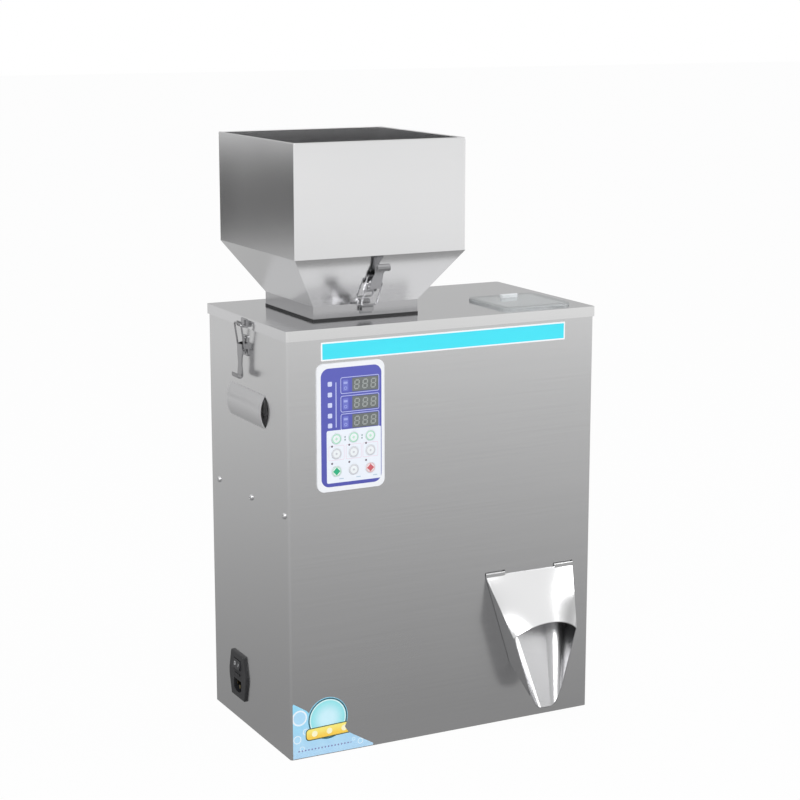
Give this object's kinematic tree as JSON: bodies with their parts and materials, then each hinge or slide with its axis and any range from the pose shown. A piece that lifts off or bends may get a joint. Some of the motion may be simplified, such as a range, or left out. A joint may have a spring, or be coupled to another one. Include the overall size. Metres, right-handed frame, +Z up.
{
  "type": "powder filling machine",
  "caption": "Table-top steel cabinet with a square feed hopper above, a keypad panel in front and a hooded spout that fills weighed powder portions into bags.",
  "frame": {"origin": "centre of the case's underside", "axes": "+Z up, the front panel faces -Y, +X to the right of someone facing the panel"},
  "size_m": [0.4326, 0.2849, 0.709],
  "materials": {
    "case_steel": "satin",
    "rear_steel": "satin",
    "inner_steel": "satin",
    "lid_steel": "satin",
    "collar_steel": "satin",
    "hopper_steel": "satin",
    "spout_steel": "satin",
    "handle_steel": "polished",
    "latch_steel": "polished",
    "screw_steel": "polished",
    "spring_steel": "satin",
    "black_rubber": "matt",
    "black_plastic": "matt",
    "rocker_plastic": "gloss",
    "clear_acrylic": "clear",
    "grip_plastic": "gloss",
    "overlay_blue": "satin film",
    "dark_window": "smoked gloss",
    "key_pale": "satin film",
    "key_grey": "satin film",
    "key_green": "satin film",
    "key_red": "satin film",
    "board_green": "lacquered",
    "core_iron": "satin",
    "coil_copper": "lacquered",
    "contact_brass": "polished",
    "socket_metal": "polished",
    "cast_base": "rough",
    "cell_aluminium": "satin",
    "motor_metal": "satin"
  },
  "bodies": {
    "case": {"case_shell": "case_steel", "back_panel": "rear_steel", "case_screws": "screw_steel", "base_plate": "rear_steel", "shelf": "inner_steel", "side_latch_bases": "latch_steel", "handle_plates": "handle_steel", "handle_cups": "black_plastic", "control_overlay": "overlay_blue", "number_windows": "dark_window", "display_board": "board_green", "control_board": "board_green", "transformer": "core_iron", "inlet_body": "black_plastic", "inlet_contacts": "contact_brass", "pedal_socket": "socket_metal", "cable_grommet": "black_rubber", "bag_sensor": "black_plastic", "discharge_chute": "inner_steel", "feeder_base": "cast_base", "feeder_feet": "black_rubber", "leaf_springs": "spring_steel", "magnet_core": "core_iron", "magnet_coil": "coil_copper", "weigh_bucket": "inner_steel", "weigh_cell": "cell_aluminium", "cell_post": "cell_aluminium", "flap_motor": "motor_metal"},
    "lid": {"lid": "lid_steel", "collar_seal": "black_rubber", "hopper_collar": "collar_steel", "latch_keepers": "latch_steel"},
    "hopper": {"hopper": "hopper_steel", "hopper_latch_base": "latch_steel"},
    "window": {"window_cover": "clear_acrylic", "window_grip": "grip_plastic"},
    "left_lever": {"left_latch_lever": "latch_steel"},
    "right_lever": {"right_latch_lever": "latch_steel"},
    "hopper_lever": {"hopper_latch_lever": "latch_steel"},
    "left_bail": {"left_latch_bail": "latch_steel"},
    "right_bail": {"right_latch_bail": "latch_steel"},
    "hopper_bail": {"hopper_latch_bail": "latch_steel"},
    "spout": {"spout": "spout_steel", "spout_hood": "spout_steel"},
    "trough": {"feed_trough": "inner_steel", "armature": "core_iron"},
    "flap": {"bucket_flap": "inner_steel"},
    "crank": {"flap_crank": "motor_metal"},
    "rocker": {"power_rocker": "rocker_plastic"},
    "fuse_drawer": {"fuse_drawer": "black_plastic"},
    "key_1": {"key_1": "key_pale"},
    "key_2": {"key_2": "key_pale"},
    "key_3": {"key_3": "key_pale"},
    "key_4": {"key_4": "key_grey"},
    "key_5": {"key_5": "key_grey"},
    "key_6": {"key_6": "key_grey"},
    "key_7": {"key_7": "key_green"},
    "key_8": {"key_8": "key_grey"},
    "key_9": {"key_9": "key_red"}
  },
  "joints": [
    {"name": "lid_lift", "type": "slide", "parent": "case", "child": "lid", "axis": [0, 0, 1], "range_m": [0, 0.06]},
    {"name": "hopper_lift", "type": "slide", "parent": "lid", "child": "hopper", "axis": [0, 0, 1], "range_m": [0, 0.085]},
    {"name": "window_lift", "type": "slide", "parent": "lid", "child": "window", "axis": [0, 0, 1], "range_m": [0, 0.04]},
    {"name": "left_latch", "type": "hinge", "parent": "case", "child": "left_lever", "pos_m": [-0.2062, 0, 0.47], "axis": [0, 1, 0], "range_deg": [0, 110]},
    {"name": "right_latch", "type": "hinge", "parent": "case", "child": "right_lever", "pos_m": [0.2062, 0, 0.47], "axis": [0, -1, 0], "range_deg": [0, 110]},
    {"name": "hopper_latch", "type": "hinge", "parent": "hopper", "child": "hopper_lever", "pos_m": [-0.0797, -0.08966, 0.54217], "axis": [1, 0, 0], "range_deg": [0, 110]},
    {"name": "left_bail_turn", "type": "hinge", "parent": "left_lever", "child": "left_bail", "pos_m": [-0.2062, 0, 0.465], "axis": [0, 1, 0], "range_deg": [-135, 0]},
    {"name": "right_bail_turn", "type": "hinge", "parent": "right_lever", "child": "right_bail", "pos_m": [0.2062, 0, 0.465], "axis": [0, -1, 0], "range_deg": [-135, 0]},
    {"name": "hopper_bail_turn", "type": "hinge", "parent": "hopper_lever", "child": "hopper_bail", "pos_m": [-0.0797, -0.0925, 0.54628], "axis": [1, 0, 0], "range_deg": [-135, 0]},
    {"name": "spout_swing", "type": "hinge", "parent": "case", "child": "spout", "pos_m": [0.116, -0.1154, 0.1895], "axis": [-1, 0, 0], "range_deg": [0, 20]},
    {"name": "trough_shake", "type": "slide", "parent": "case", "child": "trough", "axis": [0.9659, 0, 0.2588], "range_m": [-0.0008, 0.0008], "stiffness_N_per_m": 20000},
    {"name": "flap_turn", "type": "hinge", "parent": "case", "child": "flap", "pos_m": [0.116, 0.0437, 0.3371], "axis": [1, 0, 0], "range_deg": [0, 50]},
    {"name": "crank_turn", "type": "hinge", "parent": "case", "child": "crank", "pos_m": [0.1595, 0.0437, 0.3371], "axis": [1, 0, 0], "range_deg": [0, 50]},
    {"name": "power_switch", "type": "hinge", "parent": "case", "child": "rocker", "pos_m": [-0.2015, 0.036, 0.0707], "axis": [0, -1, 0], "range_deg": [0, 18]},
    {"name": "fuse_drawer_pull", "type": "slide", "parent": "case", "child": "fuse_drawer", "axis": [-1, 0, 0], "range_m": [0, 0.022]},
    {"name": "key_1_press", "type": "slide", "parent": "case", "child": "key_1", "axis": [0, 1, 0], "range_m": [0, 0.0005], "stiffness_N_per_m": 2000},
    {"name": "key_2_press", "type": "slide", "parent": "case", "child": "key_2", "axis": [0, 1, 0], "range_m": [0, 0.0005], "stiffness_N_per_m": 2000},
    {"name": "key_3_press", "type": "slide", "parent": "case", "child": "key_3", "axis": [0, 1, 0], "range_m": [0, 0.0005], "stiffness_N_per_m": 2000},
    {"name": "key_4_press", "type": "slide", "parent": "case", "child": "key_4", "axis": [0, 1, 0], "range_m": [0, 0.0005], "stiffness_N_per_m": 2000},
    {"name": "key_5_press", "type": "slide", "parent": "case", "child": "key_5", "axis": [0, 1, 0], "range_m": [0, 0.0005], "stiffness_N_per_m": 2000},
    {"name": "key_6_press", "type": "slide", "parent": "case", "child": "key_6", "axis": [0, 1, 0], "range_m": [0, 0.0005], "stiffness_N_per_m": 2000},
    {"name": "key_7_press", "type": "slide", "parent": "case", "child": "key_7", "axis": [0, 1, 0], "range_m": [0, 0.0005], "stiffness_N_per_m": 2000},
    {"name": "key_8_press", "type": "slide", "parent": "case", "child": "key_8", "axis": [0, 1, 0], "range_m": [0, 0.0005], "stiffness_N_per_m": 2000},
    {"name": "key_9_press", "type": "slide", "parent": "case", "child": "key_9", "axis": [0, 1, 0], "range_m": [0, 0.0005], "stiffness_N_per_m": 2000}
  ],
  "couplings": [
    {"joint": "left_bail_turn", "follows": "left_latch", "ratio": -1.2},
    {"joint": "right_bail_turn", "follows": "right_latch", "ratio": -1.2},
    {"joint": "hopper_bail_turn", "follows": "hopper_latch", "ratio": -1.2},
    {"joint": "crank_turn", "follows": "flap_turn", "ratio": 1}
  ]
}
